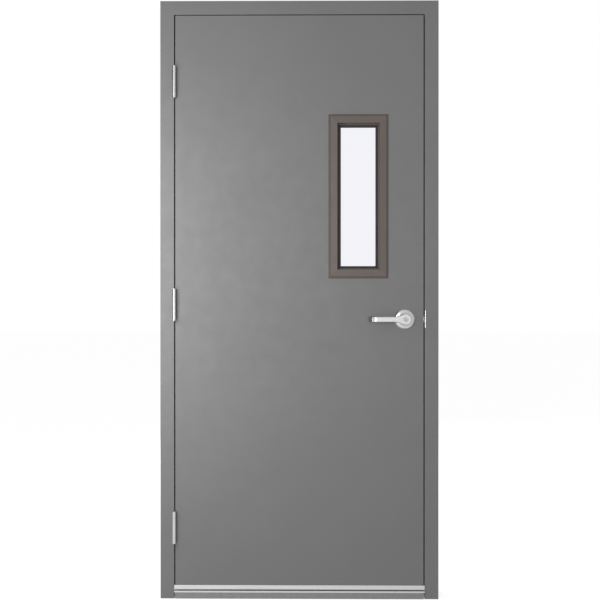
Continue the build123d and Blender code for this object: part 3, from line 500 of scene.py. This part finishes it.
# %% [markdown]
# ## Screws with a cross recess
#
# In the CAD model a screw is a plain countersunk body. The real ones have a cross recess
# for the driver. One screw of each size is modelled at the origin: a cylinder whose lower
# ring is drawn in to a cone and extruded to a shank, and a cross that is cut out of the
# head. It is then copied to each place where the CAD model has a screw.

# %% Find the single screws of a CAD group
same_place = 1e-6


def solids_of(node):
    """The lowest and highest corner of each separate solid in a CAD node."""
    mesh = bmesh.new()
    mesh.from_mesh(nodes[node].data)
    bmesh.ops.remove_doubles(mesh, verts=mesh.verts, dist=same_place)
    waiting = set(mesh.verts)
    boxes = []
    while waiting:
        corner = waiting.pop()
        frontier = [corner]
        found = [corner.co.copy()]
        while frontier:
            here = frontier.pop()
            for edge in here.link_edges:
                other = edge.other_vert(here)
                if other in waiting:
                    waiting.remove(other)
                    frontier.append(other)
                    found.append(other.co.copy())
        boxes.append((
            Vector([min(point[axis] for point in found) for axis in range(3)]),
            Vector([max(point[axis] for point in found) for axis in range(3)]),
        ))
    mesh.free()
    return sorted(boxes, key=lambda box: tuple(box[0]))


print("a hinge side has", len(solids_of("hinge_door_screws")), "screws")

# %% Model one screw
def select_ring(mesh, height, tolerance=1e-5):
    """Select only the faces and vertices at one height."""
    for face in mesh.faces:
        face.select = all(abs(corner.co.z - height) < tolerance for corner in face.verts)
    mesh.select_flush_mode()


arm_share = 0.24
cross_taper = 0.45


def make_cross(name, reach, depth):
    """A tapered cross that cuts the recess: a small block with its four sides drawn out."""
    bpy.ops.object.select_all(action="DESELECT")
    width = reach * arm_share
    bpy.ops.mesh.primitive_cube_add(size=1, location=(0, 0, 0))
    cross = bpy.context.active_object
    cross.name = name
    cross.scale = (2 * width, 2 * width, 2 * depth)
    bpy.ops.object.transform_apply(location=False, rotation=False, scale=True)
    bpy.ops.object.mode_set(mode="EDIT")
    for direction in ((1, 0, 0), (-1, 0, 0), (0, 1, 0), (0, -1, 0)):
        mesh = bmesh.from_edit_mesh(cross.data)
        outward = Vector(direction)
        for face in mesh.faces:
            at_core = abs(face.calc_center_median().dot(outward) - width) < same_place
            face.select = face.normal.dot(outward) > 0.9 and at_core
        mesh.select_flush_mode()
        bmesh.update_edit_mesh(cross.data)
        step = outward * (reach - width)
        bpy.ops.mesh.extrude_region_move(TRANSFORM_OT_translate={"value": tuple(step)})
    mesh = bmesh.from_edit_mesh(cross.data)
    for corner in mesh.verts:
        corner.select = corner.co.z < 0
    mesh.select_flush(True)
    bmesh.update_edit_mesh(cross.data)
    bpy.ops.transform.resize(value=(cross_taper, cross_taper, 1), center_override=(0, 0, 0))
    bpy.ops.object.mode_set(mode="OBJECT")
    return cross


rim_sides = 36
tip_share = 0.75
cross_reach_share = 0.55
cross_depth_share = 0.45
soft_edge_share = 0.05


def make_screw(name, head_radius, head_height, shank_radius, length):
    """A countersunk screw at the origin: its head's face up at height 0, its shank down."""
    bpy.ops.object.select_all(action="DESELECT")
    bpy.ops.mesh.primitive_cylinder_add(
        vertices=rim_sides,
        radius=head_radius,
        depth=head_height,
        location=(0, 0, -head_height / 2),
    )
    screw = bpy.context.active_object
    screw.name = name
    bpy.ops.object.transform_apply(location=True, rotation=False, scale=False)
    bpy.ops.object.mode_set(mode="EDIT")
    mesh = bmesh.from_edit_mesh(screw.data)
    select_ring(mesh, -head_height)
    bmesh.update_edit_mesh(screw.data)
    share = shank_radius / head_radius
    bpy.ops.transform.resize(value=(share, share, 1), center_override=(0, 0, -head_height))
    down = (0, 0, head_height - length)
    bpy.ops.mesh.extrude_region_move(TRANSFORM_OT_translate={"value": down})
    bpy.ops.transform.resize(value=(tip_share, tip_share, 1), center_override=(0, 0, -length))
    bpy.ops.object.mode_set(mode="OBJECT")
    cross_reach = head_radius * cross_reach_share
    cross = make_cross(name + "_cross", cross_reach, head_height * cross_depth_share)
    cut = screw.modifiers.new("recess", "BOOLEAN")
    cut.operation = "DIFFERENCE"
    cut.solver = "EXACT"
    cut.object = cross
    bpy.ops.object.select_all(action="DESELECT")
    bpy.context.view_layer.objects.active = screw
    screw.select_set(True)
    bpy.ops.object.modifier_apply(modifier="recess")
    bpy.data.objects.remove(cross)
    soften = screw.modifiers.new("edges", "BEVEL")
    soften.width = head_radius * soft_edge_share
    soften.segments = 2
    soften.angle_limit = math.radians(50)
    bpy.ops.object.modifier_apply(modifier="edges")
    bpy.ops.object.shade_smooth_by_angle(angle=math.radians(40))
    return screw


big_screw = make_screw(
    "big_screw", head_radius=0.0052, head_height=0.0029, shank_radius=0.0027, length=0.012
)
small_screw = make_screw(
    "small_screw", head_radius=0.0034, head_height=0.0016, shank_radius=0.0020, length=0.0082
)
print("faces in a screw:", len(big_screw.data.polygons), len(small_screw.data.polygons))

# %% Copy the screws to their places
def place_screws(node, model, outward, turn_step=0.7):
    """Put a copy of the model screw at each screw of a CAD node, each turned a bit further."""
    face_out = Vector(outward)
    turn_to = face_out.to_track_quat("Z", "Y").to_matrix().to_4x4()
    copies = []
    for count, (box_low, box_high) in enumerate(solids_of(node)):
        centre = (box_low + box_high) / 2
        reach = abs((box_high - box_low).dot(face_out)) / 2
        seat = centre + face_out * reach
        copy = model.copy()
        copy.data = model.data.copy()
        bpy.context.scene.collection.objects.link(copy)
        spin = Matrix.Rotation(turn_step * count, 4, "Z")
        copy.data.transform(Matrix.Translation(seat) @ turn_to @ spin)
        copies.append(copy)
    bpy.ops.object.select_all(action="DESELECT")
    for copy in copies:
        copy.select_set(True)
    bpy.context.view_layer.objects.active = copies[0]
    bpy.ops.object.join()
    joined = bpy.context.active_object
    joined.name = node + "_detailed"
    joined.data.materials.clear()
    joined.data.materials.append(screw_steel)
    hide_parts(node)
    return joined


screw_sets = {
    "hinge_frame_screws": (big_screw, (1, 0, 0), "frame"),
    "hinge_door_screws": (big_screw, (-1, 0, 0), "door"),
    "strike_screws": (big_screw, (-1, 0, 0), "frame"),
    "faceplate_screws": (small_screw, (1, 0, 0), "door"),
    "lite_screws": (small_screw, (0, 1, 0), "door"),
    "sweep_screws": (small_screw, (0, -1, 0), "door"),
}
for node, (model, outward, body) in screw_sets.items():
    screws = place_screws(node, model, outward)
    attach(screws, body)
    print(screws.name, len(screws.data.polygons), "faces")
for model in (big_screw, small_screw):
    bpy.data.objects.remove(model)
